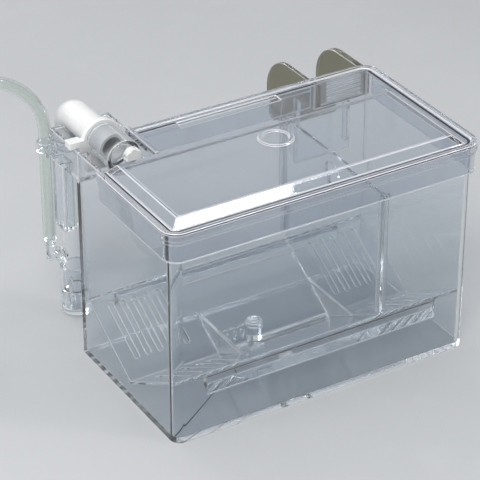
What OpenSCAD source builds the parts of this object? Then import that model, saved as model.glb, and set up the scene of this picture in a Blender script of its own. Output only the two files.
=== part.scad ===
// Hang-on fish breeding box: a clear tank that hooks over an aquarium's rim, with a lid,
// a V-shaped trap tray and an air-driven riser that brings water in through an elbow.
// Millimetres. X is the width, Y runs from the front to the rear, Z is up from the base.
// The origin is at the base, midway across the width and the overall depth.

/* [Tank] */
// Outside width of the tank
tank_w = 154; // [146:1:166]
// Outside depth of the tank
tank_d = 86; // [82:1:94]
// Height of the tank's rim above its base
tank_h = 106; // [102:1:116]
// Thickness of the tank's walls
wall = 2; // [1.6:0.2:2.4]
// Thickness of the tank's floor
floor_t = 2.5; // [2:0.5:3]
// Outside radius of the two front corners
corner_r = 5; // [4:0.5:6]

/* [Lid] */
// Depth of the lid's skirt below the tank's rim
skirt_h = 13; // [10:1:15]
// Thickness of the skirt
skirt_t = 1.6; // [1.2:0.2:2]
// Clearance between the skirt and the tank
skirt_gap = 0.4; // [0.3:0.1:0.6]
// How far the rim bead stands out from the skirt
bead = 1; // [0.6:0.2:1.4]
// Height of the lid's rim above the tank's rim
rim_h = 2; // [1.8:0.2:2.4]
// Height of the raised panel above the lid's rim
panel_rise = 3; // [2:0.5:4]
// Width of the bevel round the raised panel
bevel_w = 5.5; // [4:0.5:6]
// Width of the finger slot in the lid
finger_w = 52; // [40:1:60]

/* [Water inlet] */
// Outside width of the inlet bay
bay_w = 30; // [29:0.5:32]
// Reach of the inlet bay behind the tank
bay_d = 25; // [25:0.5:27]
// Outside diameter of the riser tube
riser_od = 12; // [11:0.5:12.5]
// Bore of the riser tube
riser_bore = 9.6; // [8:0.2:10]
// Outside diameter of the elbow
elbow_od = 14.5; // [14:0.5:15]
// Outside diameter of the nozzle
nozzle_od = 16; // [15.5:0.5:17]
// Length of the nozzle
nozzle_len = 20.5; // [18:0.5:22]
// Outside diameter of the air tube
airline_d = 6; // [5:0.5:6]

/* [Water outlet] */
// Outside width of the spillway
spill_w = 30; // [28:1:34]
// Depth of the bay and the spillway below the rim
spill_drop = 13; // [12.5:0.5:15]
// Radius of the cheeks where they turn over the aquarium's rim
cheek_r = 18; // [16:1:20]
// Number of slots in the outlet grille
grille_slots = 5; // [3:1:5]

/* [Trap tray] */
// Height of the tray's upper edges above the base
tray_z = 31; // [29:1:34]
// Slope of the tray's two sides in degrees
tray_slope = 30; // [27:1:31]
// Thickness of the tray's sides
tray_t = 1.6; // [1.4:0.2:2]
// Slots in each group
tray_slots = 5; // [3:1:5]
// Width of each slot
slot_w = 2.2; // [1.6:0.2:2.6]
// Distance from the middle to each gusset
gusset_x = 30; // [28:1:32]

/* [Hidden] */
$fn = 64;
eps = 0.01;

// Fits
run_gap = 0.1;
loose_gap = 0.3;

// Plan
lid_margin = skirt_t + skirt_gap + bead;
lid_w = tank_w + 2 * lid_margin;
lid_d = tank_d + 2 * lid_margin;
lid_r = corner_r + lid_margin;
cheek_run = 23;
rear_reach = cheek_run + cheek_r;
overall_d = lid_margin + tank_d + rear_reach;
y_lid = -overall_d / 2;
y_front = y_lid + lid_margin;
y_back = y_front + tank_d;
y_in_front = y_front + wall;
y_in_back = y_back - wall;
y_mid = (y_front + y_back) / 2;
x_side = tank_w / 2;
rim_relief = 0.2;

// Inlet bay and hooks
bay_t = 2;
bay_floor_z = tank_h - spill_drop;
hook_w = 7;
hook_d = 10;
hook_t = 1.4;
hook_gap = 14;
hook_z = 57;

// Spillway
plate_t = 2;
cheek_rim = 1.5;
spill_floor_z = bay_floor_z;
chute_run = 19;
chute_r = 12;
chute_lip_z = 70;
chute_cut = 20;
chute_y = y_back + chute_run;
chute_z = spill_floor_z - chute_r;
lip_y = chute_y + chute_r;
cheek_y = y_back + cheek_run;
cheek_z = tank_h - cheek_r;
lip_round = 5;
rib_w = 1.2;
grille_t = 2;
grille_y = y_in_back + 1.3;
grille_frame = 1.6;
grille_bar = 3.6;
grille_pitch = 2.2;
grille_slot_h = 1.2;

// Lid
lid_top_z = tank_h + rim_h;
strip_t = 1.4;
step_h = 2;
panel_top_z = lid_top_z + panel_rise;
panel_y0 = y_lid + 3;
panel_x0 = -lid_w / 2 + 3;
panel_x1 = lid_w / 2 - 6.5;
rear_bevel = 3;
panel_t = 2;
above_z = panel_top_z + 2;
notch_w = 29.5;
notch_bead_w = 2.2;
notch_bead_h = 1.6;
ring_r = 8;
ring_w = 2;
ring_h = 1;
finger_x = -27;
finger_d = 5;

// Trap tray
tray_x = x_side - wall - 0.8;
tray_half = tank_d / 2 - wall - 1.6;
slope = tan(tray_slope);
v_z = tray_z - tray_half * slope;
tray_v = tray_t / cos(tray_slope);
slit_half = 2;
slit_x = gusset_x - 1.2;
gusset_t = 2;
gusset_h = 11.7;
gusset_z = v_z + gusset_h;
slot_first = gusset_x + 11.2;
slot_pitch = 6.05;
slot_in = 9.5;
slot_out = 33.5;
ledge_d = 4;
ledge_t = 3;
ledge_x = 60;

// Gate
gate_x0 = -gusset_x + 1.5;
gate_w = 13;
gate_t = 2;
runner_t = 2 * slit_half - 2 * loose_gap;
runner_z0 = v_z - 1.4;
runner_z1 = v_z + 2.8;
flange_w = 10;
flange_t = 1.6;
gate_top_z = gusset_z - 0.2;
post_d = 8;
post_x = gate_x0 + gate_w + post_d / 2;
post_z0 = v_z + post_d / 2 * slope + 0.5;
post_z1 = gusset_z + 2;

// Divider
divider_t = 2;
divider_top_z = tank_h - 12;
divider_half = tank_d / 2 - wall - loose_gap;
guide_w = 1.2;
guide_d = 1.2;
guide_z0 = tray_z + 3;
grip_d = 10;

// Riser, elbow and nozzle
riser_x = -x_side + 14;
riser_y = y_back + bay_d + 8;
riser_z0 = 14;
elbow_r = 8.5;
elbow_z = tank_h + 2;
bend_y = riser_y - elbow_r;
bend_z = elbow_z - elbow_r;
riser_z1 = bend_z - 0.2;
elbow_face_y = y_back + 1;
spigot_od = riser_od;
spigot_len = 11;
flange_od = riser_od + 2.4;
strainer_z0 = 2;
strainer_z1 = 26;
strainer_od = riser_od + 3;
strainer_slots = 8;
nozzle_y1 = elbow_face_y - loose_gap;
nozzle_y0 = nozzle_y1 - nozzle_len;
nozzle_end_t = 1.4;
nozzle_lip = 1.2;
outlet_w = 8;
outlet_y0 = nozzle_y0 + nozzle_end_t + 0.8;
outlet_y1 = elbow_face_y - spigot_len - 0.8;
knob_d = 8;
knob_h = 3.5;
knob_shift = [3, 1];
notch_y = nozzle_y0 - knob_h - 1.7;
panel_y1 = notch_y - 0.5;
saddle_t = 3;
saddle_od = elbow_od + 4;
saddle_web = riser_od + 1;
arm_h = 3;
lug_w = 6.5;
lug_h = 3.5;
lug_out = 2;
lug_back = 2;

// Air tube and the bracket that holds it beside the riser
bracket_z = bay_floor_z - bay_t;
bracket_h = 4;
bracket_t = 1.2;
bracket_plate_t = 1.6;
bracket_left = 3;
bracket_right = 8;
bracket_web = 4;
elbow_base_z = bracket_z + bracket_h + loose_gap;
nipple_z = 34;
nipple_top_z = 44;
nipple_od = 4;
nipple_flange_w = 2;
nipple_flange_t = 2;
hose_x = -x_side + 1.3;
hose_y = riser_y;
lead_a = 14;
arch_r = 28;
arch_z = 101;
rest_z = 3.7;
// Points of the air tube beside the riser: heights
riser_route = [nipple_top_z, 56, 68, 80, 88, 96];
// Points of the air tube past the bracket, an arch, a fall and a bend: distance to the left, height
free_route = concat(
    [for (a = [0 : 15 : 180]) [arch_r * (1 - cos(a)), arch_z + arch_r * sin(a)]],
    [for (z = [arch_z - 15 : -17 : rest_z + arch_r + 8]) [2 * arch_r, z]],
    [for (b = [0 : 15 : 90]) [2 * arch_r + arch_r * (1 - cos(b)), rest_z + arch_r * (1 - sin(b))]]);
lead = [-cos(lead_a), sin(lead_a), 0];
away = [sin(lead_a), cos(lead_a), 0];
function lead_point(s, z) = [hose_x, hose_y, z] + s * lead;
airline_route = concat([for (z = riser_route) lead_point(0, z)], [for (p = free_route) lead_point(p[0], p[1])]);
airline_sides = 10;

// Coil of the air tube: two layers, spiralling in below and out again above
coil_pitch = airline_d + 0.8;
coil_lift = airline_d + 0.6;
coil_half = 2.25;
coil_rin = 25.35;
coil_rings = 24;
coil_sides = 6;
coil_z = free_route[len(free_route) - 1][1];
coil_rout = coil_rin + coil_pitch * coil_half;
coil_entry = lead_point(free_route[len(free_route) - 1][0] + airline_d, coil_z);
coil_centre = coil_entry - coil_rout * away;
function coil_r(t) = coil_rin + coil_pitch * abs(t - coil_half);
function coil_climb(t) = min(1, max(0, (t - coil_half + 0.25) / 0.5));
function smooth(c) = c * c * (3 - 2 * c);
function coil_at(t) = coil_centre
    + coil_r(t) * [cos(90 - lead_a + 360 * t), sin(90 - lead_a + 360 * t), 0]
    + [0, 0, coil_lift * smooth(coil_climb(t))];
coil_turns = 2 * coil_half;
coil_loops = [for (i = [0 : coil_turns * coil_rings]) coil_at(i / coil_rings)];
coil_tail = coil_loops[len(coil_loops) - 1] - coil_loops[len(coil_loops) - 2];
coil_path = concat([coil_entry - airline_d * lead], coil_loops,
                   [coil_loops[len(coil_loops) - 1] + airline_d * coil_tail / norm(coil_tail)]);
tie_w = 6;
tie_t = 0.5;

// Helpers

// A plate outline with two round corners at the front, its rear corners square
module front_rounded(x, y0, y1, r) {
    translate([-x, y0 + r]) square([2 * x, y1 - y0 - r]);
    translate([-x + r, y0]) square([2 * x - 2 * r, r + eps]);
    for (s = [-1, 1]) translate([s * (x - r), y0 + r]) circle(r);
}

// A plate outline with four round corners
module all_rounded(x, y0, y1, r) {
    translate([-x, y0 + r]) square([2 * x, y1 - y0 - 2 * r]);
    translate([-x + r, y0]) square([2 * x - 2 * r, y1 - y0]);
    for (s = [-1, 1], y = [y0 + r, y1 - r]) translate([s * (x - r), y]) circle(r);
}

// A box between two corners
module box(a, b) {
    translate(a) cube(b - a);
}

// Draws a Y-Z outline as a plate between two X planes
module across(x0, x1) {
    translate([x0, 0, 0]) rotate([90, 0, 90]) linear_extrude(x1 - x0) children();
}

// A straight bar with round ends, standing through Z
module round_slot(length, width, height) {
    translate([-length / 2, -width / 2, -height / 2]) cube([length, width, height]);
    for (s = [-1, 1]) translate([s * length / 2, 0, 0]) cylinder(d = width, h = height, center = true);
}

// A round bar along Y
module along_y(x, z, y0, y1, d) {
    translate([x, y0, z]) rotate([-90, 0, 0]) cylinder(d = d, h = y1 - y0);
}

// A round tube along Z
module hollow(od, id, h) {
    difference() {
        cylinder(d = od, h = h);
        translate([0, 0, -1]) cylinder(d = id, h = h + 2);
    }
}

// A block with four sloping sides
module bevelled_block(x0, x1, y0, y1, z0, z1, bx, by0, by1) {
    intersection() {
        across(x0 - 1, x1 + 1)
            polygon([[y0, z0], [y1, z0], [y1 - by1, z1], [y0 + by0, z1]]);
        translate([0, y1 + 1, 0]) rotate([90, 0, 0]) linear_extrude(y1 - y0 + 2)
            polygon([[x0, z0], [x1, z0], [x1 - bx, z1], [x0 + bx, z1]]);
    }
}

// A tube swept along a path, its rings square to the path
function unit(v) = v / norm(v);
function tangent(path, i) = unit(path[min(i + 1, len(path) - 1)] - path[max(i - 1, 0)]);
function ring_at(c, t, ref, r, sides) =
    let (u = unit(ref - (ref * t) * t), w = cross(t, u))
    [for (k = [0 : sides - 1]) c + r * (cos(360 * k / sides) * u + sin(360 * k / sides) * w)];
module swept_tube(path, ref, r, sides) {
    n = len(path);
    rings = [for (i = [0 : n - 1]) each ring_at(path[i], tangent(path, i), ref, r, sides)];
    skin = [for (i = [0 : n - 2], k = [0 : sides - 1])
        let (a = i * sides + k, b = i * sides + (k + 1) % sides)
        each [[a, b, b + sides], [a, b + sides, a + sides]]];
    first = [for (k = [1 : sides - 2]) [0, k + 1, k]];
    last = [for (k = [1 : sides - 2]) [(n - 1) * sides, (n - 1) * sides + k, (n - 1) * sides + k + 1]];
    polyhedron(points = rings, faces = [for (f = concat(skin, first, last)) [f[0], f[2], f[1]]]);
}

// Height of the tray's upper face at a distance from the middle of the tank
function tray_top(d) = v_z + d * slope;

// Tank and what is joined to it

module tank_ledge() {
    d0 = tank_d / 2 - wall;
    d1 = d0 - ledge_d;
    under0 = tray_top(d0) - tray_v;
    under1 = tray_top(d1) - tray_v;
    across(-ledge_x, ledge_x)
        polygon([[y_mid - d0 - eps, under0], [y_mid - d1, under1],
                 [y_mid - d1, under1 - ledge_t], [y_mid - d0 - eps, under1 - ledge_t - ledge_d]]);
}

module guide_ribs(y0) {
    gap = divider_t / 2 + loose_gap;
    color([0.86, 0.9, 0.93, 0.35]) for (x = [gusset_x - gap - guide_w, gusset_x + gap])
        box([x, y0, guide_z0], [x + guide_w, y0 + guide_d, divider_top_z]);
}

module front_guide() {
    guide_ribs(y_in_front);
}

module rear_guide() {
    guide_ribs(y_in_back - guide_d);
}

module tank() {
    color([0.86, 0.9, 0.93, 0.35]) {
        difference() {
            linear_extrude(tank_h) front_rounded(x_side, y_front, y_back, corner_r);
            translate([0, 0, floor_t]) linear_extrude(tank_h)
                front_rounded(x_side - wall, y_in_front, y_in_back, corner_r - wall);
            box([-x_side - 1, y_in_back - eps, bay_floor_z - bay_t],
                [-x_side + bay_w, y_back + 1, tank_h + 1]);
            box([x_side - spill_w, y_in_back - eps, spill_floor_z - plate_t],
                [x_side + 1, y_back + 1, tank_h + 1]);
            box([-x_side + bay_w - 1, y_back - rim_relief, bay_floor_z - bay_t],
                [x_side - spill_w + 1, y_back + 1, tank_h + 1]);
        }
        for (m = [0, 1]) translate([0, m * 2 * y_mid, 0]) mirror([0, m, 0]) tank_ledge();
        translate([0, y_mid, floor_t - eps]) difference() {
            cylinder(r = ring_r, h = 1.5);
            translate([0, 0, -1]) cylinder(r = ring_r - ring_w, h = 4);
        }
    }
}

module inlet_bay() {
    x0 = -x_side;
    x1 = -x_side + bay_w;
    y1 = y_back + bay_d;
    cradle = elbow_od / 2 + loose_gap;
    color([0.86, 0.9, 0.93, 0.35]) difference() {
        box([x0, y_in_back, bay_floor_z - bay_t], [x1, y1, tank_h]);
        box([x0 + bay_t, y_in_back - 1, bay_floor_z], [x1 - bay_t, y1 - bay_t, tank_h + 1]);
        along_y(riser_x, elbow_z, y1 - bay_t - 1, y1 + 1, 2 * cradle);
    }
}

module left_hook() {
    y0 = y_back + hook_gap;
    z1 = bay_floor_z - bay_t;
    color([0.86, 0.9, 0.93, 0.35]) difference() {
        box([-x_side, y0, hook_z], [-x_side + hook_w, y0 + hook_d, z1]);
        box([-x_side + hook_t, y0 + hook_t, hook_z + hook_t],
            [-x_side + hook_w - hook_t, y0 + hook_d - hook_t, z1 + 1]);
    }
}

module cheek_outline() {
    difference() {
        union() {
            translate([y_in_back, chute_z]) square([cheek_y - y_in_back, tank_h - chute_z]);
            translate([cheek_y, cheek_z]) circle(cheek_r);
            translate([lip_y - plate_t, chute_lip_z + lip_round])
                square([cheek_y + cheek_r - lip_y + plate_t, cheek_z - chute_lip_z - lip_round]);
            translate([lip_y - plate_t, chute_lip_z])
                square([cheek_y + cheek_r - lip_y + plate_t - lip_round, lip_round + 1]);
            translate([cheek_y + cheek_r - lip_round, chute_lip_z + lip_round]) circle(lip_round);
        }
        translate([y_in_back - 1, chute_lip_z - chute_cut])
            square([chute_y - y_in_back + 1, spill_floor_z - plate_t - chute_lip_z + chute_cut]);
        translate([y_in_back - 1, chute_lip_z - chute_cut])
            square([lip_y - plate_t - y_in_back + 1, chute_z - chute_lip_z + chute_cut]);
        translate([chute_y, chute_z]) circle(chute_r - plate_t);
    }
}

module chute_outline() {
    translate([y_in_back, spill_floor_z - plate_t]) square([chute_y - y_in_back, plate_t]);
    intersection() {
        translate([chute_y, chute_z]) difference() {
            circle(chute_r);
            circle(chute_r - plate_t);
        }
        translate([chute_y, chute_z]) square(2 * chute_r);
    }
    translate([lip_y - plate_t, chute_lip_z]) square([plate_t, chute_z - chute_lip_z]);
}

module spillway() {
    x0 = x_side - spill_w;
    x1 = x_side;
    color([0.62, 0.62, 0.45, 0.45]) {
        across(x0, x0 + plate_t) cheek_outline();
        across(x1 - plate_t, x1 + cheek_rim) cheek_outline();
        across(x0 + plate_t - eps, x1 - plate_t + eps) chute_outline();
        for (x = [x0 + plate_t - eps, x1 - plate_t - rib_w + eps],
             y = [grille_y - loose_gap - 0.9, grille_y + grille_t + loose_gap])
            box([x, y, spill_floor_z - eps], [x + rib_w, y + 0.9, tank_h - 1]);
    }
}

module right_hook() {
    x0 = x_side - spill_w;
    y0 = y_back + hook_gap;
    z1 = spill_floor_z - plate_t;
    color([0.86, 0.9, 0.93, 0.35]) {
        box([x0, y0, hook_z], [x_side, y0 + plate_t, z1]);
        for (x = [x0, x_side - plate_t])
            box([x, y0 + plate_t - eps, hook_z + 4], [x + plate_t, chute_y, z1]);
    }
}

// Loose pieces inside the tank

module outlet_grille() {
    x0 = x_side - spill_w + plate_t + loose_gap;
    x1 = x_side - plate_t - loose_gap;
    z0 = spill_floor_z;
    z1 = tank_h - loose_gap;
    sx0 = x0 + grille_frame + grille_bar;
    color([0.8, 0.82, 0.8, 0.5]) difference() {
        box([x0, grille_y, z0], [x1, grille_y + grille_t, z1]);
        for (i = [0 : grille_slots - 1]) {
            z = z1 - 1.4 - grille_slot_h - i * grille_pitch;
            box([sx0, grille_y - 1, z], [x1 - grille_frame, grille_y + grille_t + 1, z + grille_slot_h]);
        }
    }
}

module trap_tray() {
    top = tray_top(tray_half);
    reach = (slot_in + slot_out) / 2 / cos(tray_slope);
    color([0.88, 0.91, 0.92, 0.4]) translate([0, y_mid, 0]) difference() {
        across(-tray_x, tray_x)
            polygon([[-tray_half, top], [0, v_z], [tray_half, top],
                     [tray_half, top - tray_v], [0, v_z - tray_v], [-tray_half, top - tray_v]]);
        box([-slit_x, -slit_half, v_z - 3 * tray_v], [slit_x, slit_half, v_z + 3 * tray_v]);
        for (m = [0, 1], s = [-1, 1], i = [0 : tray_slots - 1]) mirror([0, m, 0])
            translate([s * (slot_first + i * slot_pitch), 0, v_z]) rotate([tray_slope, 0, 0])
                translate([0, reach, 0]) rotate([0, 0, 90])
                    round_slot((slot_out - slot_in) / cos(tray_slope), slot_w, 3 * tray_t);
    }
}

module gusset(x) {
    half = (gusset_z - v_z) / slope;
    color([0.93, 0.95, 0.96, 0.5]) across(x - gusset_t / 2, x + gusset_t / 2)
        polygon([[y_mid - half, gusset_z], [y_mid, v_z], [y_mid + half, gusset_z]]);
}

module left_gusset() {
    gusset(-gusset_x);
}

module right_gusset() {
    gusset(gusset_x);
}

module gate_plate() {
    color([0.9, 0.93, 0.95, 0.5]) {
        difference() {
            box([gate_x0, y_mid - gate_t / 2, runner_z0], [gate_x0 + gate_w, y_mid + gate_t / 2, gate_top_z]);
            for (i = [0 : 2])
                translate([gate_x0 + 3 + i * 3.6, y_mid, (runner_z1 + gate_top_z) / 2])
                    rotate([0, 90, 90]) round_slot(3, 1.6, 3 * gate_t);
        }
        box([gate_x0, y_mid - runner_t / 2, runner_z0], [gate_x0 + gate_w, y_mid + runner_t / 2, v_z + 1.2]);
        box([gate_x0, y_mid - flange_w / 2, runner_z0 - flange_t],
            [gate_x0 + gate_w, y_mid + flange_w / 2, runner_z0 + eps]);
    }
}

module gate_post() {
    color([0.93, 0.95, 0.97, 0.6]) translate([post_x, y_mid, 0]) {
        difference() {
            union() {
                translate([0, 0, post_z0]) cylinder(d = post_d, h = post_z1 - post_z0 - 2);
                translate([0, 0, post_z1 - 2 - eps]) cylinder(d = post_d - 1.4, h = 1);
                intersection() {
                    translate([0, 0, post_z1 - 5.5]) sphere(r = 5.5);
                    translate([0, 0, post_z1 - 1.1]) cylinder(d = post_d - 2.4, h = 2);
                }
            }
            translate([0, 0, post_z1 - 4]) difference() {
                cylinder(d = post_d + 1, h = 1.2);
                translate([0, 0, -1]) cylinder(d = post_d - 1.4, h = 4);
            }
        }
    }
}

module divider() {
    gap = loose_gap / cos(tray_slope) + 0.05;
    low = (gusset_z - v_z - gap) / slope;
    out = tray_half + 0.4;
    out_z = tray_top(out) + gap;
    color([0.88, 0.92, 0.95, 0.35]) difference() {
        across(gusset_x - divider_t / 2, gusset_x + divider_t / 2)
            polygon([[y_mid - low, gusset_z], [y_mid + low, gusset_z],
                     [y_mid + out, out_z], [y_mid + divider_half, out_z],
                     [y_mid + divider_half, divider_top_z], [y_mid - divider_half, divider_top_z],
                     [y_mid - divider_half, out_z], [y_mid - out, out_z]]);
        translate([gusset_x - divider_t, y_mid, divider_top_z - grip_d])
            rotate([0, 90, 0]) cylinder(d = grip_d, h = 2 * divider_t);
    }
}

// Lid

module skirt_ring(out, z0, z1) {
    translate([0, 0, z0]) linear_extrude(z1 - z0)
        all_rounded(lid_w / 2 - out, y_lid + out, y_lid + lid_d - out, lid_r - out);
}

module lid_shell() {
    difference() {
        union() {
            skirt_ring(bead, tank_h - skirt_h, tank_h);
            skirt_ring(bead / 2, tank_h - 2 * step_h, tank_h);
            skirt_ring(0, tank_h - step_h, lid_top_z);
        }
        translate([0, 0, tank_h - skirt_h - 1]) linear_extrude(skirt_h + 1)
            all_rounded(x_side + skirt_gap, y_front - skirt_gap, y_back + skirt_gap, corner_r + skirt_gap);
        translate([0, 0, tank_h + strip_t]) linear_extrude(rim_h)
            all_rounded(lid_w / 2 - lid_margin, y_lid + lid_margin, y_lid + lid_d - lid_margin, corner_r);
    }
}

module lid() {
    color([0.86, 0.88, 0.93, 0.4]) {
        difference() {
            union() {
                lid_shell();
                bevelled_block(panel_x0, panel_x1, panel_y0, panel_y1, tank_h + eps, panel_top_z,
                               bevel_w, bevel_w, rear_bevel);
            }
            bevelled_block(panel_x0 + panel_t, panel_x1 - panel_t, panel_y0 + panel_t, panel_y1 - panel_t,
                           tank_h - 1, panel_top_z - panel_t, bevel_w, bevel_w, rear_bevel);
            box([-lid_w / 2 - 1, notch_y, tank_h - skirt_h - 1], [-lid_w / 2 + notch_w, y_lid + lid_d + 1, above_z]);
            box([-lid_w / 2 - 1, notch_y, tank_h - skirt_h - 1],
                [-x_side + bay_w + 1, y_lid + lid_d + 1, tank_h]);
            box([x_side - spill_w - 1, y_back - corner_r, tank_h - skirt_h - 1],
                [lid_w / 2 + 1, y_lid + lid_d + 1, tank_h]);
            box([finger_x, y_in_back - finger_d, tank_h - 1], [finger_x + finger_w, y_in_back, above_z]);
        }
        box([-lid_w / 2 + notch_w, notch_y, tank_h + strip_t / 2],
            [-lid_w / 2 + notch_w + notch_bead_w, y_lid + lid_d - bead, lid_top_z + notch_bead_h]);
        translate([0, y_mid, panel_top_z - eps]) difference() {
            cylinder(r = ring_r, h = ring_h);
            translate([0, 0, -1]) cylinder(r = ring_r - ring_w, h = ring_h + 2);
        }
    }
}

// Riser, elbow and nozzle

module riser_tube() {
    color([0.85, 0.9, 0.92, 0.4]) translate([riser_x, riser_y, 0]) difference() {
        union() {
            translate([0, 0, riser_z0]) cylinder(d = riser_od, h = riser_z1 - riser_z0);
            translate([0, 0, bracket_z - 2]) cylinder(d = flange_od, h = 2);
        }
        translate([0, 0, riser_z0 - 1]) cylinder(d = riser_bore, h = riser_z1 - riser_z0 + 2);
        translate([0, 0, nipple_z]) rotate([0, -90, 0]) cylinder(d = nipple_od + 2 * run_gap, h = riser_od);
    }
}

module strainer() {
    color([0.9, 0.92, 0.92, 0.6]) translate([riser_x, riser_y, 0]) difference() {
        translate([0, 0, strainer_z0]) cylinder(d = strainer_od, h = strainer_z1 - strainer_z0);
        translate([0, 0, riser_z0]) cylinder(d = riser_od + run_gap, h = strainer_z1);
        translate([0, 0, strainer_z0 + 2]) cylinder(d = riser_bore, h = riser_z0);
        for (i = [0 : strainer_slots - 1]) rotate([0, 0, i * 360 / strainer_slots])
            box([0, -0.8, strainer_z0 + 3], [strainer_od, 0.8, riser_z0 - 1]);
    }
}

module elbow_bend() {
    translate([riser_x, bend_y, bend_z]) rotate([90, 0, 90]) intersection() {
        rotate_extrude() translate([elbow_r, 0]) difference() {
            circle(d = elbow_od);
            circle(d = riser_bore);
        }
        translate([0, 0, -elbow_od]) cube([2 * elbow_r, 2 * elbow_r, 2 * elbow_od]);
    }
}

module elbow() {
    color([0.97, 0.97, 0.97]) {
        translate([riser_x, riser_y, elbow_base_z])
            hollow(elbow_od, riser_od + 2 * run_gap, riser_z1 - elbow_base_z);
        translate([riser_x, riser_y, riser_z1]) hollow(elbow_od, riser_bore, bend_z - riser_z1);
        elbow_bend();
        translate([riser_x, elbow_face_y, elbow_z]) rotate([-90, 0, 0])
            hollow(elbow_od, riser_bore, bend_y - elbow_face_y);
        translate([riser_x, elbow_face_y - spigot_len, elbow_z]) rotate([-90, 0, 0])
            hollow(spigot_od, riser_bore, spigot_len);
    }
}

module elbow_saddle() {
    y1 = elbow_face_y + saddle_t;
    x_in = -x_side + bay_t + loose_gap;
    color([0.98, 0.98, 0.98]) difference() {
        union() {
            along_y(riser_x, elbow_z, elbow_face_y, y1, saddle_od);
            box([riser_x - saddle_web / 2, elbow_face_y, bay_floor_z],
                [riser_x + saddle_web / 2, y1, elbow_z - elbow_od / 4]);
            box([x_in, elbow_face_y, tank_h - arm_h], [riser_x - saddle_web / 3, y1, tank_h + lug_h]);
            box([-x_side - lug_out, elbow_face_y, tank_h],
                [-x_side - lug_out + lug_w, y1 + lug_back, tank_h + lug_h]);
        }
        along_y(riser_x, elbow_z, elbow_face_y - 1, y1 + 1, elbow_od + run_gap);
    }
}

module nozzle() {
    color([0.85, 0.88, 0.9, 0.5]) difference() {
        union() {
            along_y(riser_x, elbow_z, nozzle_y0, nozzle_y1, nozzle_od);
            along_y(riser_x, elbow_z, nozzle_y0, nozzle_y0 + nozzle_lip, nozzle_od + 0.8);
        }
        along_y(riser_x, elbow_z, nozzle_y0 + nozzle_end_t, nozzle_y1 + 1, spigot_od + 2 * run_gap);
        box([riser_x - outlet_w / 2, outlet_y0, elbow_z - nozzle_od],
            [riser_x + outlet_w / 2, outlet_y1, elbow_z - spigot_od / 4]);
    }
}

module nozzle_knob() {
    color([0.98, 0.98, 0.98])
        translate([riser_x + knob_shift[0], nozzle_y0, elbow_z + knob_shift[1]]) rotate([90, 0, 0]) difference() {
            cylinder(d = knob_d, h = knob_h);
            for (i = [0 : 5]) rotate([0, 0, 60 * i]) translate([knob_d / 2 + 0.4, 0, 1])
                cylinder(d = 2, h = knob_h);
        }
}

// Air tube

module air_nipple() {
    color([0.9, 0.92, 0.92, 0.6]) {
        translate([riser_x - riser_bore / 2 - 0.2, riser_y, nipple_z]) rotate([0, -90, 0])
            cylinder(d = nipple_od, h = riser_x - riser_bore / 2 - 0.2 - hose_x);
        translate([riser_x - riser_od / 2 - 0.4, riser_y, nipple_z]) rotate([0, -90, 0])
            cylinder(d = nipple_od + 2 * nipple_flange_w, h = nipple_flange_t);
        translate([hose_x, hose_y, nipple_z]) sphere(d = nipple_od);
        translate([hose_x, hose_y, nipple_z]) cylinder(d = nipple_od, h = nipple_top_z - nipple_z);
        translate([hose_x, hose_y, nipple_top_z - 3]) cylinder(d = nipple_od + 1, h = 1.4);
    }
}

module tube_bracket() {
    y0 = y_back + bay_d;
    z1 = bracket_z + bracket_h;
    color([0.95, 0.96, 0.97, 0.8]) difference() {
        union() {
            box([hose_x - bracket_left, y0, bracket_z],
                [riser_x + bracket_right, y0 + bracket_plate_t, z1]);
            for (p = [[riser_x, riser_od], [hose_x, airline_d]]) {
                translate([p[0], riser_y, bracket_z])
                    cylinder(d = p[1] + 2 * (bracket_t + run_gap), h = bracket_h);
                box([p[0] - bracket_web / 2, y0, bracket_z], [p[0] + bracket_web / 2, riser_y, z1]);
            }
        }
        for (p = [[riser_x, riser_od], [hose_x, airline_d]])
            translate([p[0], riser_y, bracket_z - 1]) cylinder(d = p[1] + 2 * run_gap, h = bracket_h + 2);
    }
}

module airline() {
    color([0.8, 0.88, 0.84, 0.6])
        swept_tube(airline_route, away, airline_d / 2, airline_sides);
}

module airline_coil() {
    color([0.8, 0.88, 0.84, 0.6])
        swept_tube(coil_path, [0, 0, 1], airline_d / 2, coil_sides);
}

module coil_tie() {
    a = 90 - lead_a + 270;
    r0 = coil_rin + coil_pitch / 2 - airline_d / 2 - 0.4;
    r1 = coil_rin + 1.5 * coil_pitch + airline_d / 2 + 0.4;
    z0 = coil_z - airline_d / 2 - 0.1;
    z1 = coil_z + coil_lift + airline_d / 2 + 0.2;
    color([0.2, 0.2, 0.22]) translate([coil_centre[0], coil_centre[1], 0]) rotate([0, 0, a]) difference() {
        box([r0 - tie_t, -tie_w / 2, z0 - tie_t], [r1 + tie_t, tie_w / 2, z1 + tie_t]);
        box([r0, -tie_w, z0], [r1, tie_w, z1]);
    }
}

// Lengths of the air tube and the least gap between the coil's turns
function path_len(p) = [for (i = [0 : len(p) - 2]) norm(p[i + 1] - p[i])] * [for (i = [0 : len(p) - 2]) 1];
echo(airline_length = path_len(airline_route), coil_length = path_len(coil_path));
echo(coil_gap = min([for (i = [0 : len(coil_path) - 1], j = [i + 12 : 1 : len(coil_path) - 1])
    norm(coil_path[i] - coil_path[j])]) - airline_d);

tank();
front_guide();
rear_guide();
inlet_bay();
left_hook();
spillway();
right_hook();
outlet_grille();
lid();
trap_tray();
left_gusset();
right_gusset();
gate_plate();
gate_post();
divider();
riser_tube();
strainer();
elbow();
elbow_saddle();
nozzle();
nozzle_knob();
air_nipple();
tube_bracket();
airline();
airline_coil();
coil_tie();
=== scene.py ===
"""A clear hang-on fish breeding box.

Each moulded piece is its CAD node's shape with rounded edges and a finish. The air tube is swept
along a line of its own, and the studio round them is plain.
"""

import logging
import math
from dataclasses import dataclass, field
from enum import Enum
from functools import cache
from typing import Optional, Sequence, Union

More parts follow.
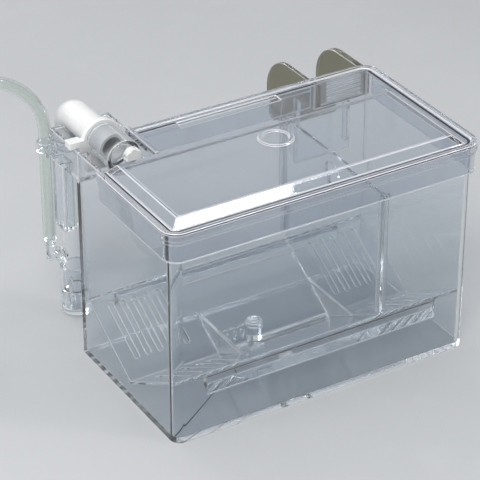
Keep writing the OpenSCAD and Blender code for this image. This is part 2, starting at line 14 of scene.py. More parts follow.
import bmesh
import bpy
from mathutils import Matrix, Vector


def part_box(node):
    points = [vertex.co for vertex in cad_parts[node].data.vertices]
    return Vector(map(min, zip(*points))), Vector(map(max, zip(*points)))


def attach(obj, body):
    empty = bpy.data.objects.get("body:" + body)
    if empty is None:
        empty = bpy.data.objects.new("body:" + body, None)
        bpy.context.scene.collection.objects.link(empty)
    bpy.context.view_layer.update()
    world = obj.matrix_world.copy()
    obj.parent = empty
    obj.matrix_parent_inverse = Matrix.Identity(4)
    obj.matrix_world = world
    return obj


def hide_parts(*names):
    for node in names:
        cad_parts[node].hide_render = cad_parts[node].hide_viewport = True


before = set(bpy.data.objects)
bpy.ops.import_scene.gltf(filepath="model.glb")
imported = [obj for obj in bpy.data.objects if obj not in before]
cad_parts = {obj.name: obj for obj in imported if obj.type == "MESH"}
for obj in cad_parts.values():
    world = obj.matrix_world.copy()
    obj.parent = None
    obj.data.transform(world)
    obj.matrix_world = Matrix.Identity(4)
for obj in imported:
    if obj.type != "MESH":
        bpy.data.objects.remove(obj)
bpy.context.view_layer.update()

LOG = logging.getLogger("breeding_box")
MM = 0.001

Colour = tuple[float, float, float]
Point = tuple[float, float, float]
Value = Union["Field", float, Sequence[float]]


class Body(Enum):
    """The bodies that the frame's joints move."""

    TANK = "tank_body"
    LID = "lid_body"
    ELBOW = "elbow_body"
    NOZZLE = "nozzle_body"
    TRAY = "tray_body"
    GATE = "gate_body"
    DIVIDER = "divider_body"
    GRILLE = "grille_body"


class Slot(Enum):
    """The record's material slots."""

    CLEAR = "clear_plastic"
    FROSTED = "frosted_plastic"
    SMOKED_AND_SHADED = "smoked_plastic"
    WHITE = "white_plastic"
    TUBE = "soft_tube"
    DARK = "dark_plastic"


@dataclass(frozen=True)
class Pattern:
    """A noise pattern, and the part of its range that counts.

    Attributes:
        scale: Its waves per metre.
        detail: Its octaves.
        rough: How strong the finer octaves are.
        squeeze: How much denser it is along each axis.
        low: The noise that becomes 0.
        high: The noise that becomes 1.
    """

    scale: float
    detail: float = 3.0
    rough: float = 0.5
    squeeze: Point = (1.0, 1.0, 1.0)
    low: float = 0.0
    high: float = 1.0


class Field:
    """A number or colour that a node tree works out, with Python's own operators."""

    def __init__(self, graph: "Graph", socket: bpy.types.NodeSocket) -> None:
        """Keeps the tree and the output socket.

        Args:
            graph: The tree that the socket is in.
            socket: The output that carries the value.
        """
        self.graph = graph
        self.socket = socket

    def _math(self, operation: str, left: Value, right: Value) -> "Field":
        """Adds one Math node.

        Args:
            operation: The node's operation.
            left: Its first value.
            right: Its second value.

        Returns:
            The node's result.
        """
        return self.graph.add("ShaderNodeMath", {"operation": operation}, {0: left, 1: right})

    def __add__(self, other: Value) -> "Field":
        """Adds a value."""
        return self._math("ADD", self, other)

    def __radd__(self, other: Value) -> "Field":
        """Is added to a value."""
        return self._math("ADD", other, self)

    def __sub__(self, other: Value) -> "Field":
        """Takes a value away."""
        return self._math("SUBTRACT", self, other)

    def __rsub__(self, other: Value) -> "Field":
        """Is taken from a value."""
        return self._math("SUBTRACT", other, self)

    def __mul__(self, other: Value) -> "Field":
        """Multiplies by a value."""
        return self._math("MULTIPLY", self, other)

    def __rmul__(self, other: Value) -> "Field":
        """Multiplies a value."""
        return self._math("MULTIPLY", other, self)

    def larger(self, other: Value) -> "Field":
        """Takes the larger of this and a value."""
        return self._math("MAXIMUM", self, other)

    def stretch(self, low: float, high: float) -> "Field":
        """Maps low to 0 and high to 1, and holds what lies outside.

        Args:
            low: The value that becomes 0.
            high: The value that becomes 1.

        Returns:
            A field from 0 to 1.
        """
        return self.graph.add("ShaderNodeMapRange", {"clamp": True}, {0: self, 1: low, 2: high})


class Graph:
    """The node tree of one material or of the surroundings."""

    def __init__(self, owner: Union[bpy.types.Material, bpy.types.World]) -> None:
        """Empties the owner's node tree.

        Args:
            owner: What the tree belongs to.
        """
        owner.use_nodes = True
        self.tree = owner.node_tree
        self.tree.nodes.clear()

    def add(self, kind: str, settings: Optional[dict] = None, values: Optional[dict] = None,
            out: Union[int, str] = 0) -> Field:
        """Adds any node.

        Args:
            kind: The node's type name.
            settings: Properties that are set first.
            values: Input sockets by index or name, each a number, a colour or a Field.
            out: The output that is handed back.

        Returns:
            The chosen output.
        """
        node = self.tree.nodes.new(kind)
        for key, value in (settings or {}).items():
            setattr(node, key, value)
        for key, value in (values or {}).items():
            if isinstance(value, Field):
                self.tree.links.new(value.socket, node.inputs[key])
            elif isinstance(value, (int, float)):
                node.inputs[key].default_value = value
            else:
                slots = len(node.inputs[key].default_value)
                node.inputs[key].default_value = (*value, 1.0)[:slots]
        return Field(self, node.outputs[out] if len(node.outputs) else None)

    def place(self) -> Field:
        """Gives the place on the piece, in metres."""
        return self.add("ShaderNodeTexCoord", out="Object")

    def ray(self, *kinds: str) -> Field:
        """Tells which rays ask.

        Args:
            kinds: The Light Path outputs to look at.

        Returns:
            1 where the ray is one of the kinds, else 0.
        """
        flags = [self.add("ShaderNodeLightPath", out=kind) for kind in kinds]
        either = flags[0]
        for flag in flags[1:]:
            either = either.larger(flag)
        return either

    def noise(self, pattern: Pattern) -> Field:
        """Adds a pattern's bare noise.

        Args:
            pattern: The pattern.

        Returns:
            The noise, about 0 to 1.
        """
        placed = self.add("ShaderNodeMapping", {}, {
            "Vector": self.place(), "Scale": pattern.squeeze})
        return self.add("ShaderNodeTexNoise", {}, {
            "Vector": placed, "Scale": pattern.scale, "Detail": pattern.detail,
            "Roughness": pattern.rough})

    def marks(self, pattern: Pattern) -> Field:
        """Adds a pattern's marks.

        Args:
            pattern: The pattern.

        Returns:
            0 where there is no mark, and 1 where it is full.
        """
        return self.noise(pattern).stretch(pattern.low, pattern.high)

    def blend(self, factor: Value, first: Value, second: Value) -> Field:
        """Blends two colours.

        Args:
            factor: 0 gives the first, 1 the second.
            first: A colour.
            second: A colour.

        Returns:
            The blend.
        """
        return self.add("ShaderNodeMix", {"data_type": "RGBA"},
                        {0: factor, 6: first, 7: second}, out=2)

    def bump(self, height: Field, depth: float) -> Field:
        """Turns a height into a normal.

        Args:
            height: The height pattern, about 0 to 1.
            depth: What 1 stands for, in metres.

        Returns:
            The bent normal.
        """
        return self.add("ShaderNodeBump", {}, {
            "Height": height, "Distance": depth, "Strength": 1.0})

    def close(self, shader: Field, kind: str = "ShaderNodeOutputMaterial") -> None:
        """Joins the shader to the output.

        Args:
            shader: What the tree shows.
            kind: The output's type name.
        """
        self.add(kind, {}, {"Surface": shader})


@dataclass(frozen=True)
class Finish:
    """What every finish has: a name, and a material that is made once."""

    name: str
    colour: Colour

    def dress(self, graph: Graph) -> Field:
        """Adds the finish's nodes.

        Args:
            graph: An empty tree.

        Returns:
            The shader.
        """
        raise NotImplementedError

    @cache
    def material(self) -> bpy.types.Material:
        """Gives the material, made the first time it is asked for.

        Returns:
            The material.
        """
        made = bpy.data.materials.new(self.name)
        graph = Graph(made)
        graph.close(self.dress(graph))
        return made


@dataclass(frozen=True)
class ClearFinish(Finish):
    """Polished see-through plastic that lets lamps through.

    Attributes:
        roughness: The polish away from the streaks.
        clear: The share of light that enters the plastic.
        ior: Its refractive index.
        wave: The height of the skin's waves in metres.
        scuff: How much rougher a streak is.
        paler: The brightest part of the tint over the plain colour.
        shade: What a ray from a lamp keeps of its light.
        streaks: Where the skin is worn.
        tint: How the colour varies.
        ripple: The skin's waves.
    """

    roughness: float = 0.03
    clear: float = 1.0
    ior: float = 1.5
    wave: float = 3e-5
    scuff: float = 0.05
    paler: float = 1.03
    shade: Colour = (0.86, 0.88, 0.9)
    streaks: Pattern = Pattern(260.0, 4.0, 0.6, (1.0, 0.35, 1.6), 0.52, 0.74)
    tint: Pattern = Pattern(14.0, 2.0, low=0.3, high=0.7)
    ripple: Pattern = Pattern(45.0, 2.0)

    def dress(self, graph: Graph) -> Field:
        """Adds faint streaks, a slightly uneven tint and a softly waved skin.

        Args:
            graph: An empty tree.

        Returns:
            A Principled shader, with Transparent in its place for rays from lamps.
        """
        worn = graph.marks(self.streaks)
        pale = tuple(min(1.0, c * self.paler) for c in self.colour)
        shader = graph.add("ShaderNodeBsdfPrincipled", {}, {
            "Base Color": graph.blend(graph.marks(self.tint) * (1.0 - worn), pale, self.colour),
            "Roughness": self.roughness + self.scuff * worn,
            "Transmission Weight": self.clear,
            "IOR": self.ior,
            "Normal": graph.bump(graph.noise(self.ripple), self.wave),
        })
        through = graph.add("ShaderNodeBsdfTransparent", {}, {"Color": self.shade})
        return graph.add("ShaderNodeMixShader", {}, {
            0: graph.ray("Is Shadow Ray"), 1: shader, 2: through})


@dataclass(frozen=True)
class SolidFinish(Finish):
    """Plastic or paint that can't be seen through.

    Attributes:
        roughness: The polish away from the scuffs.
        coat: How strong the glossy coat is.
        coat_roughness: The coat's own polish.
        grain: The skin's waves per metre.
        depth: Their height in metres.
        soft: How much light spreads under the skin.
        reach: How far it spreads in metres.
        scuff: How much rougher a scuff is.
        specular: How strong the skin's own gloss is.
        duller: The darkest part of the mottling over the plain colour.
    """

    roughness: float = 0.25
    coat: float = 0.0
    coat_roughness: float = 0.08
    grain: float = 900.0
    depth: float = 4e-6
    soft: float = 0.0
    reach: float = 0.002
    scuff: float = 0.15
    specular: float = 0.5
    duller: float = 0.93

    def dress(self, graph: Graph) -> Field:
        """Adds faint mottling, scuffs and a fine skin.

        Args:
            graph: An empty tree.

        Returns:
            A Principled shader.
        """
        dull = tuple(c * self.duller for c in self.colour)
        mottle = graph.marks(Pattern(self.grain / 10.0, low=0.35, high=0.65))
        scuffs = graph.marks(Pattern(self.grain / 2.0, 4.0, 0.65, low=0.5, high=0.8))
        skin = graph.noise(Pattern(self.grain, 2.0))
        return graph.add("ShaderNodeBsdfPrincipled", {}, {
            "Base Color": graph.blend(mottle * (1.0 - scuffs), self.colour, dull),
            "Roughness": self.roughness + self.scuff * scuffs,
            "Specular IOR Level": self.specular,
            "Coat Weight": self.coat,
            "Coat Roughness": self.coat_roughness,
            "Subsurface Weight": self.soft,
            "Subsurface Radius": (self.reach, self.reach, self.reach),
            "Normal": graph.bump(skin, self.depth),
        })


CLEAR = ClearFinish("clear_plastic_wall", (0.88, 0.905, 0.925), wave=8e-6)
# The clear pieces' rounded edges get a whiter, less clear copy of the plastic: partly a frosted
# edge, partly a painted highlight standing for the light that clear edges gather.
CLEAR_EDGE_FROST_AND_HIGHLIGHT = ClearFinish("clear_plastic_edge_frost_and_highlight", (0.95, 0.96, 1.0),
                         roughness=0.12, clear=0.46, wave=4e-6)
# The lid is the tank's clear plastic, tinted darker and bluer as a painted reflection of the dark
# slate-blue that the lid mirrors.
LID_WALL_PAINTED_REFLECTION = ClearFinish("lid_plastic_wall_painted_reflection", (0.77, 0.795, 0.84), wave=3.5e-5)
# The lid's rounded edges get a lilac-white, less clear copy of the plastic: partly a frosted edge,
# partly a painted highlight for the bright band along the lid's rim.
LID_EDGE_FROST_AND_HIGHLIGHT = ClearFinish("lid_plastic_edge_frost_and_highlight", (0.95, 0.94, 1.0),
                       roughness=0.1, clear=0.42, wave=4e-6)
# The outlet's tint is partly its smoked plastic and partly painted shade: it is darkened to the
# dark olive of the shade that shows through its cheeks.
SMOKED_AND_SHADED = ClearFinish("smoked_and_shaded_plastic_wall", (0.24, 0.225, 0.15), wave=4e-5)
# The outlet's rounded edges get a pale copy of the plastic: partly a frosted edge, partly a
# painted highlight for the light rims of its cheeks.
SMOKED_EDGE_FROST_AND_HIGHLIGHT = ClearFinish("smoked_plastic_edge_frost_and_highlight", (0.9, 0.9, 0.88),
                          roughness=0.1, clear=0.7, wave=4e-6)
SLEEVE = ClearFinish("sleeve_plastic_wall", (0.95, 0.96, 0.97), ior=1.38, wave=1e-5)
FROSTED = ClearFinish("frosted_plastic_wall", (0.93, 0.94, 0.95), roughness=0.22, clear=0.85)
TUBE = ClearFinish("soft_tube_wall", (0.86, 0.9, 0.87), ior=1.4, wave=8e-6)
WHITE = SolidFinish("white_plastic_skin", (0.9, 0.9, 0.89), roughness=0.16, coat=0.35, soft=0.1)
DARK = SolidFinish("dark_strap_skin", (0.035, 0.035, 0.04),
                   roughness=0.5, grain=1600.0, depth=2e-5)
FLOOR = SolidFinish("floor_paint", (0.62, 0.63, 0.64),
                    roughness=0.9, grain=30.0, depth=0.0, scuff=0.0, specular=0.1)


def join_scene(name: str, data: bpy.types.ID) -> bpy.types.Object:
    """Puts a mesh, a curve, a lamp or a camera in the scene as an object at the origin.

    Args:
        name: The object's name.
        data: What the object holds.

    Returns:
        The object.
    """
    holder = bpy.data.objects.new(name, data)
    bpy.context.scene.collection.objects.link(holder)
    return holder


def smooth_by_angle(mesh: bpy.types.Mesh, degrees: float) -> None:
    """Shades a mesh smooth, with sharp edges where faces meet more steeply.

    Args:
        mesh: The mesh.
        degrees: The steepest smooth edge.
    """
    mesh.polygons.foreach_set("use_smooth", [True] * len(mesh.polygons))
    mesh.set_sharp_from_angle(angle=math.radians(degrees))


@dataclass
class Moulding:
    """One moulded piece, taken from its CAD node, with its edges rounded.

    Attributes:
        node: The CAD node.
        body: What the piece moves with.
        slot: The record's material slot.
        wall: The finish of its faces.
        edge: The finish of its rounded edges, or none to leave them as they are.
        radius: The edges' radius.
        draw_back: How far each side is drawn back from a neighbour that it touches.
        weld: Corners closer than this become one.
        flat_within: Degrees within which faces are one flat face.
        smooth_to: Degrees up to which an edge is shaded smooth.
        rounded_from: Degrees from which an edge is rounded.
        segments: The faces across a rounded edge.
        flat_weight: How far large faces rule the shading, out of 100.
    """

    node: str
    body: Body
    slot: Slot
    wall: Finish
    edge: Optional[Finish] = None
    radius: float = 0.3 * MM
    draw_back: float = 0.0
    weld: float = 2e-6
    flat_within: float = 0.5
    smooth_to: float = 30.0
    rounded_from: float = 35.0
    segments: int = 2
    flat_weight: int = 95

    def build(self) -> bpy.types.Object:
        """Builds the shape, dresses it and puts it in its node's place.

        Returns:
            The finished piece, which stands for its node.
        """
        mesh = self.shape()
        piece = join_scene(mesh.name, mesh)
        mesh.materials.append(self.wall.material())
        if self.edge is not None:
            mesh.materials.append(self.edge.material())
            self.round_edges(piece)
        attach(piece, self.body.value)
        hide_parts(self.node)
        LOG.info("%s, %d faces", self.node, len(mesh.polygons))
        return piece

    def shape(self) -> bpy.types.Mesh:
        """Copies the node's shape, cleans it and draws it back from its neighbours.

        Returns:
            The piece's mesh, with its edges still sharp.
        """
        shape = bmesh.new()
        shape.from_mesh(bpy.data.objects[self.node].data)
        bmesh.ops.remove_doubles(shape, verts=shape.verts, dist=self.weld)
        bmesh.ops.dissolve_limit(shape, angle_limit=math.radians(self.flat_within),
                                 verts=shape.verts, edges=shape.edges, delimit=set())
        if self.draw_back:
            low, high = (Vector(corner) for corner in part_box(self.node))
            shrink = [(side - 2 * self.draw_back) / side for side in high - low]
            middle = (low + high) / 2
            bmesh.ops.translate(shape, verts=shape.verts, vec=-middle)
            bmesh.ops.scale(shape, verts=shape.verts, vec=shrink)
            bmesh.ops.translate(shape, verts=shape.verts, vec=middle)
        mesh = bpy.data.meshes.new(self.node + "_moulding")
        shape.to_mesh(mesh)
        shape.free()
        smooth_by_angle(mesh, self.smooth_to)
        return mesh

    def round_edges(self, piece: bpy.types.Object) -> None:
        """Rounds the edges, and keeps the flat faces flat in their shading.

        Args:
            piece: The piece with its two materials.
        """
        bevel = piece.modifiers.new("rounded_edges", "BEVEL")
        bevel.width = self.radius
        bevel.segments = self.segments
        bevel.limit_method = "ANGLE"
        bevel.angle_limit = math.radians(self.rounded_from)
        bevel.use_clamp_overlap = False
        # The rounded faces take the second material; on the clear and smoked pieces it is the
        # whiter edge finish, partly frosting and partly painted highlight.
        bevel.material = 1
        flat = piece.modifiers.new("flat_faces", "WEIGHTED_NORMAL")
        flat.weight = self.flat_weight
        flat.keep_sharp = True


@dataclass
class SubAssembly:
    """A group of moulded pieces on one part of the box.

    Attributes:
        gap: How far a joined piece is drawn back from its neighbour.
        fine: The edge radius of small pieces.
        edge: The edge radius of the others.
    """

    gap: float = 0.02 * MM
    fine: float = 0.15 * MM
    edge: float = 0.3 * MM

    def mould(self, node: str, body: Body, slot: Slot, wall: Finish,
              edge: Optional[Finish] = None, radius: Optional[float] = None,
              joined: bool = False) -> bpy.types.Object:
        """Makes one piece.

        Args:
            node: Its CAD node.
            body: What it moves with.
            slot: The record's material slot.
            wall: The finish of its faces.
            edge: The finish of its rounded edges, or none to leave them as they are.
            radius: The edges' radius, or none for the group's own.
            joined: Whether it touches a neighbour, and is drawn back from it.

        Returns:
            The piece.
        """
        back = self.gap if joined else 0.0
        return Moulding(node, body, slot, wall, edge, radius or self.edge, back).build()


@dataclass
class Tank(SubAssembly):
    """The open tank with its divider guides, the inlet bay and the hook under it."""

    edge: float = 0.4 * MM
    bay_edge: float = 0.3 * MM

    def build(self) -> None:
        """Makes the tank's pieces."""
        clear = (Body.TANK, Slot.CLEAR, CLEAR, CLEAR_EDGE_FROST_AND_HIGHLIGHT)
        self.mould("tank", *clear)
        for node in ("front_guide", "rear_guide"):
            self.mould(node, *clear, radius=self.fine, joined=True)
        for node in ("inlet_bay", "left_hook"):
            self.mould(node, *clear, radius=self.bay_edge, joined=True)


@dataclass
class Spillway(SubAssembly):
    """The smoked outlet, darkened further with painted shade, with its two cheeks, the hook below
    it and the grille in its mouth.
    """

    def build(self) -> None:
        """Makes the outlet's pieces."""
        self.mould("spillway", Body.TANK, Slot.SMOKED_AND_SHADED, SMOKED_AND_SHADED, SMOKED_EDGE_FROST_AND_HIGHLIGHT, joined=True)
        self.mould("right_hook", Body.TANK, Slot.CLEAR, CLEAR, CLEAR_EDGE_FROST_AND_HIGHLIGHT, joined=True)
        self.mould("outlet_grille", Body.GRILLE, Slot.FROSTED, FROSTED, CLEAR_EDGE_FROST_AND_HIGHLIGHT,
                   radius=self.fine)


@dataclass
class Lid(SubAssembly):
    """The lid with its raised panel."""

    edge: float = 0.35 * MM

    def build(self) -> None:
        """Makes the lid."""
        self.mould("lid", Body.LID, Slot.CLEAR, LID_WALL_PAINTED_REFLECTION, LID_EDGE_FROST_AND_HIGHLIGHT)


@dataclass
class TrapTray(SubAssembly):
    """The slotted tray with its gussets, its gate and the divider that stands in it."""

    gate_edge: float = 0.2 * MM

    def build(self) -> None:
        """Makes the pieces that lift out with the tray."""
        self.mould("trap_tray", Body.TRAY, Slot.CLEAR, CLEAR, CLEAR_EDGE_FROST_AND_HIGHLIGHT)
        for node in ("left_gusset", "right_gusset"):
            self.mould(node, Body.TRAY, Slot.FROSTED, FROSTED, CLEAR_EDGE_FROST_AND_HIGHLIGHT, joined=True)
        clear = (Slot.CLEAR, CLEAR, CLEAR_EDGE_FROST_AND_HIGHLIGHT)
        self.mould("gate_plate", Body.GATE, *clear, radius=self.gate_edge)
        self.mould("gate_post", Body.GATE, *clear, radius=self.gate_edge, joined=True)
        self.mould("divider", Body.DIVIDER, *clear)


@dataclass
class WaterInlet(SubAssembly):
    """The riser with its strainer and air nipple, and the elbow and nozzle on top of it."""

    saddle_edge: float = 0.4 * MM

    def build(self) -> None:
        """Makes the inlet's pieces from the bottom up."""
        clear = (Body.TANK, Slot.CLEAR)
        self.mould("strainer", *clear, CLEAR)
        self.mould("riser_tube", *clear, SLEEVE)
        self.mould("air_nipple", *clear, CLEAR)
        self.mould("tube_bracket", *clear, CLEAR)
        white = (Body.ELBOW, Slot.WHITE, WHITE)
        self.mould("elbow", *white)
        self.mould("elbow_saddle", *white, WHITE, radius=self.saddle_edge)
        self.mould("nozzle", Body.NOZZLE, Slot.CLEAR, SLEEVE, CLEAR_EDGE_FROST_AND_HIGHLIGHT)
        self.mould("nozzle_knob", Body.NOZZLE, Slot.WHITE, WHITE, WHITE)


@dataclass
class AirTube(SubAssembly):
    """The clear air tube: up beside the riser, over in an arc, and away to a tied coil.

    Lengths of the route are in millimetres and angles in degrees. They follow the CAD's own line.

    Attributes:
        diameter: The tube's outer diameter in metres.
        bore_wall: Its wall in metres.
        weld: Corners of the swept tube closer than this, in metres, become one.
        smooth_to: Edges up to this are shaded smooth.
        order: The slant along which its faces are numbered, so that each run numbers them alike.
        sides: The faces round it.
        foot: The point under the tube's lower end, on the base.
        lead_angle: How far the route to the left turns to the rear.
        riser_heights: The heights of the points beside the riser.
        arch_radius: The radius of the arch, and of the bend on to the table.
        arch_height: The height of the arch's centre.
        rest_height: The height of the centre line on the table.
        bend_step: The turn from one point of a bend to the next.
        fall_start: How far below the arch's centre the fall's first point is.
        fall_step: The fall from one point to the next.
        fall_stop: How far above the lower bend the fall's points end.
        coil_lead: The straight run before the coil.
        pitch: How much wider each turn of the coil is.
        lift: How much higher the coil's upper layer is.
        half_turns: The turns of each layer.
        crossing: The turns over which the coil climbs.
        inner_radius: The radius of its tightest turn.
        rings: The points of one turn.
        tail: The straight end past the coil.
        finer: The pieces that each stretch of the route before the coil is cut into.
        points: The centre line in metres, once it is worked out.
    """

    diameter: float = 6 * MM
    bore_wall: float = 0.9 * MM
    weld: float = 1e-6
    smooth_to: float = 50.0
    order: Point = (1.0, 3.7, 13.1)
    sides: int = 20
    foot: Point = (-75.7, 57.0, 0.0)
    lead_angle: float = 14.0
    riser_heights: tuple[float, ...] = (44, 56, 68, 80, 88, 96)
    arch_radius: float = 28.0
    arch_height: float = 101.0
    rest_height: float = 3.7
    bend_step: int = 15
    fall_start: int = 15
    fall_step: int = 17
    fall_stop: float = 8.0
    coil_lead: float = 6.0
    pitch: float = 6.8
    lift: float = 6.6
    half_turns: float = 2.25
    crossing: float = 0.5
    inner_radius: float = 25.35
    rings: int = 24
    tail: float = 6.0
    finer: int = 4
    points: list[Vector] = field(default_factory=list)

    def lead_point(self, along: float, height: float) -> Vector:
        """Finds a point of the route.

        Args:
            along: Millimetres to the left of the bracket.
            height: Millimetres above the base.

        Returns:
            The point in millimetres.
        """
        turn = math.radians(self.lead_angle)
        return Vector(self.foot) + Vector((-math.cos(turn) * along, math.sin(turn) * along,
                                           height))

    def coil_point(self, turns: float, entry: Vector) -> Vector:
        """Finds a point of the coil, which spirals in below and out again above.

        Args:
            turns: Turns from the coil's start.
            entry: Where the coil starts.

        Returns:
            The point in millimetres.
        """
        turn = math.radians(self.lead_angle)
        outer = self.inner_radius + self.pitch * self.half_turns
        centre = entry - outer * Vector((math.sin(turn), math.cos(turn), 0))
        radius = self.inner_radius + self.pitch * abs(turns - self.half_turns)
        climb = (turns - self.half_turns + self.crossing / 2) / self.crossing
        climb = min(1.0, max(0.0, climb))
        angle = math.pi / 2 - turn + math.tau * turns
        rise = self.lift * climb * climb * (3 - 2 * climb)
        return centre + Vector((radius * math.cos(angle), radius * math.sin(angle), rise))

    def route(self) -> list[Vector]:
        """Works out the whole centre line.

        Returns:
            Its points in metres.
        """
        rough = self.lead()
        smooth: list[Vector] = []
        for i, here in enumerate(rough[:-1]):
            before, there = rough[max(0, i - 1)], rough[i + 1]
            after = rough[min(len(rough) - 1, i + 2)]
            for step in range(self.finer):
                t = step / self.finer
                smooth.append(0.5 * (2 * here + (there - before) * t
                                     + (2 * before - 5 * here + 4 * there - after) * t * t
                                     + (3 * here - before - 3 * there + after) * t ** 3))
        smooth.append(rough[-1])
        entry = self.lead_point(3 * self.arch_radius + self.coil_lead, self.rest_height)
        count = int(2 * self.half_turns * self.rings)
        coil = [self.coil_point(i / self.rings, entry) for i in range(count + 1)]
        end = coil[-1] + (coil[-1] - coil[-2]).normalized() * self.tail
        return [point * MM for point in (*smooth, *coil, end)]

    def lead(self) -> list[Vector]:
        """Works out the stretch from the nipple up the riser, over the arch and down to the table.

        Returns:
            Its widely spaced points in millimetres.
        """
        radius, top, rest = self.arch_radius, self.arch_height, self.rest_height
        rough = [self.lead_point(0, height) for height in self.riser_heights]
        for turn in map(math.radians, range(0, 181, self.bend_step)):
            rough.append(self.lead_point(radius * (1 - math.cos(turn)),
                                         top + radius * math.sin(turn)))
        fall = range(int(top) - self.fall_start, int(rest + radius + self.fall_stop),
                     -self.fall_step)
        rough += [self.lead_point(2 * radius, height) for height in fall]
        for turn in map(math.radians, range(0, 91, self.bend_step)):
            rough.append(self.lead_point(2 * radius + radius * (1 - math.cos(turn)),
                                         rest + radius * (1 - math.sin(turn))))
        return rough

    def sweep(self) -> bpy.types.Mesh:
        """Sweeps the tube along its points and gives it its bore.

        Returns:
            The tube's mesh.
        """
        line = bpy.data.curves.new("air_tube_line", "CURVE")
        line.dimensions = "3D"
        line.bevel_depth = self.diameter / 2
        line.bevel_resolution = self.sides // 4
        line.twist_mode = "MINIMUM"
        spline = line.splines.new("POLY")
        spline.points.add(len(self.points) - 1)
        for spot, point in zip(spline.points, self.points):
            spot.co = (*point, 1.0)
        guide = join_scene("air_tube_line", line)
        finished = guide.evaluated_get(bpy.context.evaluated_depsgraph_get())
        swept = bpy.data.meshes.new_from_object(finished)
        bpy.data.objects.remove(guide)
        shape = bmesh.new()
        shape.from_mesh(swept)
        bmesh.ops.remove_doubles(shape, verts=shape.verts, dist=self.weld)
        bmesh.ops.recalc_face_normals(shape, faces=shape.faces)
        bmesh.ops.solidify(shape, geom=shape.faces[:], thickness=self.bore_wall)
        bmesh.ops.recalc_face_normals(shape, faces=shape.faces)
        slant = Vector(self.order)
        shape.faces.sort(key=lambda face: face.calc_center_median().dot(slant))
        mesh = bpy.data.meshes.new("air_tube")
        shape.to_mesh(mesh)
        shape.free()
        smooth_by_angle(mesh, self.smooth_to)
        return mesh

    def build(self) -> None:
        """Makes the tube, which stands for the tube's nodes, and the tie on its coil."""
        tie = self.mould("coil_tie", Body.TANK, Slot.DARK, DARK, DARK, radius=self.fine)
        self.points = self.route()
        mesh = self.sweep()
        mesh.materials.append(TUBE.material())
        piece = join_scene("air_tube", mesh)
        length = sum((b - a).length for a, b in zip(self.points, self.points[1:]))
        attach(piece, Body.TANK.value)
        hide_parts("airline", "airline_coil")
        LOG.info("air tube, %.0f mm", length / MM)


@dataclass(frozen=True)
class Lamp:
    """One soft lamp that faces the object.

    Attributes:
        name: Its name.
        place: Where it hangs, in metres.
        size: Its width and height in metres.
        power: Its power in watts.
        colour: Its colour.
    """

    name: str
    place: Point
    size: tuple[float, float]
    power: float
    colour: Colour = (1.0, 1.0, 1.0)

    def hang(self, target: Point) -> None:
        """Hangs the lamp.

        Args:
            target: The point that it faces.
        """
        light = bpy.data.lights.new(self.name, "AREA")
        light.shape = "RECTANGLE"
        light.size, light.size_y = self.size
        light.energy = self.power
        light.color = self.colour
        holder = join_scene(self.name, light)
        holder.location = self.place
        look = Vector(target) - Vector(self.place)
        holder.rotation_euler = look.to_track_quat("-Z", "Y").to_euler()


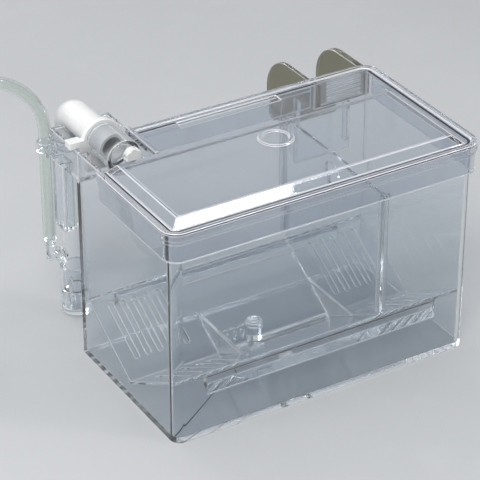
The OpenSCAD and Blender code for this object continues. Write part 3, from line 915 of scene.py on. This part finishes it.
@dataclass
class Studio:
    """The plain pale floor, the soft lamps, the surroundings and the camera.

    Attributes:
        sky_colour: The colour of the surroundings.
        fill: How strongly they light what isn't seen or mirrored.
        floor_half: Half the floor's side in metres.
        floor_drop: How far the floor lies below the object's base.
        bounces: How often a ray may bounce in the clear plastic.
        clear_bounces: How many faces a lamp's ray may pass.
        azimuth: The camera's turn about the object in degrees, negative to the left.
        elevation: Its height in degrees.
        distance: Its distance from the target in metres.
        frame_width: What the picture spans at the target, in metres.
        sensor: The camera's sensor in millimetres.
        clip: The nearest and furthest that it sees, in metres.
        target: The point in the middle of the picture.
        lamps: The lamps.
    """

    sky_colour: Colour = (0.62, 0.64, 0.66)
    fill: float = 0.45
    floor_half: float = 4.0
    floor_drop: float = 0.2 * MM
    bounces: int = 32
    clear_bounces: int = 40
    azimuth: float = -31.0
    elevation: float = 31.0
    distance: float = 1.05
    frame_width: float = 0.226
    sensor: float = 36.0
    clip: tuple[float, float] = (0.05, 50.0)
    target: Point = (0.006, 0.0216, 0.036)
    lamps: tuple[Lamp, ...] = (
        Lamp("key", (-0.7, -0.8, 1.3), (0.6, 0.6), 18.0),
        Lamp("glint", (0.63, -0.73, 1.3), (0.17, 0.3), 4.0),
        Lamp("side", (-1.3, 0.2, 0.7), (0.3, 0.9), 4.0, (0.95, 0.96, 1.0)),
        Lamp("rear", (-0.15, 1.3, 0.75), (0.5, 0.3), 4.0),
    )

    def floor(self) -> bpy.types.Object:
        """Lays the floor.

        Returns:
            The floor, which isn't part of the object.
        """
        shape = bmesh.new()
        bmesh.ops.create_grid(shape, x_segments=2, y_segments=2, size=self.floor_half)
        bmesh.ops.translate(shape, verts=shape.verts, vec=(0, 0, -self.floor_drop))
        mesh = bpy.data.meshes.new("floor")
        shape.to_mesh(mesh)
        shape.free()
        mesh.materials.append(FLOOR.material())
        piece = join_scene("floor", mesh)
        return piece

    def surroundings(self) -> None:
        """Fills the space round the object, plainly, and paler where it is seen or mirrored."""
        world = bpy.data.worlds.new("surroundings")
        bpy.context.scene.world = world
        graph = Graph(world)
        seen = graph.ray("Is Camera Ray", "Is Glossy Ray", "Is Transmission Ray")
        sky = graph.add("ShaderNodeBackground", {}, {
            "Color": self.sky_colour, "Strength": self.fill + (1.0 - self.fill) * seen})
        graph.close(sky, "ShaderNodeOutputWorld")

    def camera(self) -> None:
        """Places the camera at the photograph's angle."""
        turn, rise = math.radians(self.azimuth), math.radians(self.elevation)
        look = Vector((-math.sin(turn) * math.cos(rise), math.cos(turn) * math.cos(rise),
                       -math.sin(rise)))
        data = bpy.data.cameras.new("camera")
        data.sensor_width = self.sensor
        data.lens = self.sensor * self.distance / self.frame_width
        data.clip_start, data.clip_end = self.clip
        holder = join_scene("camera", data)
        holder.location = Vector(self.target) - look * self.distance
        holder.rotation_euler = look.to_track_quat("-Z", "Y").to_euler()
        bpy.context.scene.camera = holder

    def build(self) -> None:
        """Makes the whole studio."""
        bpy.context.scene.view_settings.view_transform = "Standard"
        cycles = bpy.context.scene.cycles
        cycles.max_bounces = cycles.transmission_bounces = cycles.glossy_bounces = self.bounces
        cycles.transparent_max_bounces = self.clear_bounces
        cycles.caustics_refractive = cycles.caustics_reflective = False
        self.camera()
        self.floor()
        self.surroundings()
        for lamp in self.lamps:
            lamp.hang(self.target)


def main() -> None:
    logging.basicConfig(level=logging.INFO, format="%(name)s: %(message)s")
    Studio().build()
    for assembly in (Tank(), Spillway(), Lid(), TrapTray(), WaterInlet(), AirTube()):
        assembly.build()


if __name__ == "__main__":
    main()
